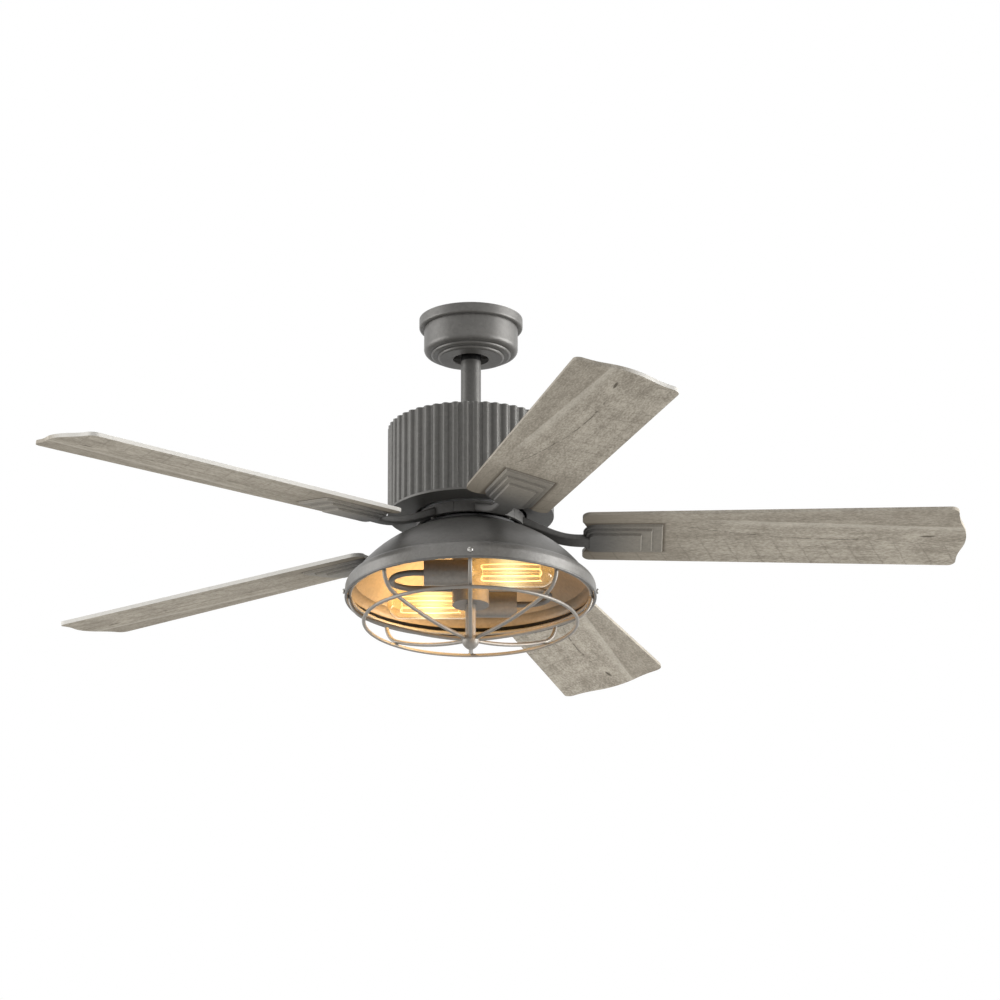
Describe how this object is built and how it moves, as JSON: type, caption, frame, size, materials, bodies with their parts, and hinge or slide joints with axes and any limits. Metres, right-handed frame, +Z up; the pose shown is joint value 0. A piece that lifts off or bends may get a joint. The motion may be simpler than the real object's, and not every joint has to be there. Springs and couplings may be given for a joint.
{
  "type": "ceiling fan",
  "caption": "Ceiling fan with a fluted motor housing, pitched wood blades on stepped irons, and a domed shade with tubular lamps behind a wire guard.",
  "frame": {"origin": "centre of the outlet-box slots on the bracket's top face, in the plane of the ceiling", "axes": "+Z up into the ceiling along the fan's axis; +X along the first blade, to the right in the picture; -Y towards the camera"},
  "size_m": [1.2234, 1.2729, 0.4671],
  "materials": {
    "satin_grey": "satin galvanised-grey metallic paint",
    "zinc_steel": "zinc-plated steel",
    "black_paint": "matt black paint",
    "machined_steel": "ground steel",
    "lamination": "stacked sheet steel",
    "winding": "enamelled copper wire",
    "bell_alloy": "die-cast aluminium",
    "black_plastic": "moulded black",
    "holder_ceramic": "glazed white",
    "base_brass": "rolled lamp base",
    "clear_glass": "clear lamp glass",
    "filament_wire": "glowing wire",
    "grey_oak": "weathered grey oak"
  },
  "bodies": {
    "ceiling_mount": {"hanger_bracket": "zinc_steel", "canopy": "satin_grey", "canopy_ring": "satin_grey", "canopy_screws": "zinc_steel"},
    "hanging_fan": {"downrod": "satin_grey", "coupling_cover": "satin_grey", "housing_lid": "satin_grey", "housing_shell": "satin_grey", "bottom_cover": "satin_grey", "shade": "satin_grey", "lamp_post": "satin_grey", "post_cap": "satin_grey", "lamp_arm_1": "satin_grey", "lamp_arm_2": "satin_grey", "socket_cup_1": "satin_grey", "socket_cup_2": "satin_grey", "stem": "satin_grey", "cage_top_ring": "satin_grey", "cage_lower_ring": "satin_grey", "cage_ribs": "satin_grey", "finial": "satin_grey", "hanger_pins": "zinc_steel", "housing_screws": "zinc_steel", "shade_screws": "zinc_steel", "cage_screws": "zinc_steel", "shaft_nut": "zinc_steel", "yoke": "zinc_steel", "light_plate": "black_paint", "motor_shaft": "machined_steel", "bearing_inner_rings": "machined_steel", "stator_core": "lamination", "stator_windings": "winding", "hanger_ball": "black_plastic", "reverse_switch": "black_plastic", "capacitor": "black_plastic", "lampholders": "holder_ceramic", "bulb_bases": "base_brass", "bulb_glass_1": "clear_glass", "bulb_glass_2": "clear_glass", "filament_1": "filament_wire", "filament_2": "filament_wire"},
    "reverse_lever": {"reverse_slider": "black_plastic"},
    "rotor": {"bearing_outer_rings": "machined_steel", "rotor_core": "lamination", "upper_bell": "bell_alloy", "lower_bell": "bell_alloy", "rotor_bolts": "zinc_steel", "iron_screws": "zinc_steel", "blade_screws": "zinc_steel", "blade_iron_1": "satin_grey", "blade_iron_2": "satin_grey", "blade_iron_3": "satin_grey", "blade_iron_4": "satin_grey", "blade_iron_5": "satin_grey", "blade_1": "grey_oak", "blade_2": "grey_oak", "blade_3": "grey_oak", "blade_4": "grey_oak", "blade_5": "grey_oak"}
  },
  "joints": [
    {"name": "hanger_swing", "type": "hinge", "parent": "ceiling_mount", "child": "hanging_fan", "pos_m": [0, 0, -0.031], "axis": [1, 0, 0], "range_deg": [-15, 15]},
    {"name": "reverse_slide", "type": "slide", "parent": "hanging_fan", "child": "reverse_lever", "axis": [1, 0, 0], "range_m": [0, 0.006]},
    {"name": "fan_spin", "type": "hinge", "parent": "hanging_fan", "child": "rotor", "pos_m": [0, 0, -0.2], "axis": [0, 0, 1], "continuous": true}
  ]
}
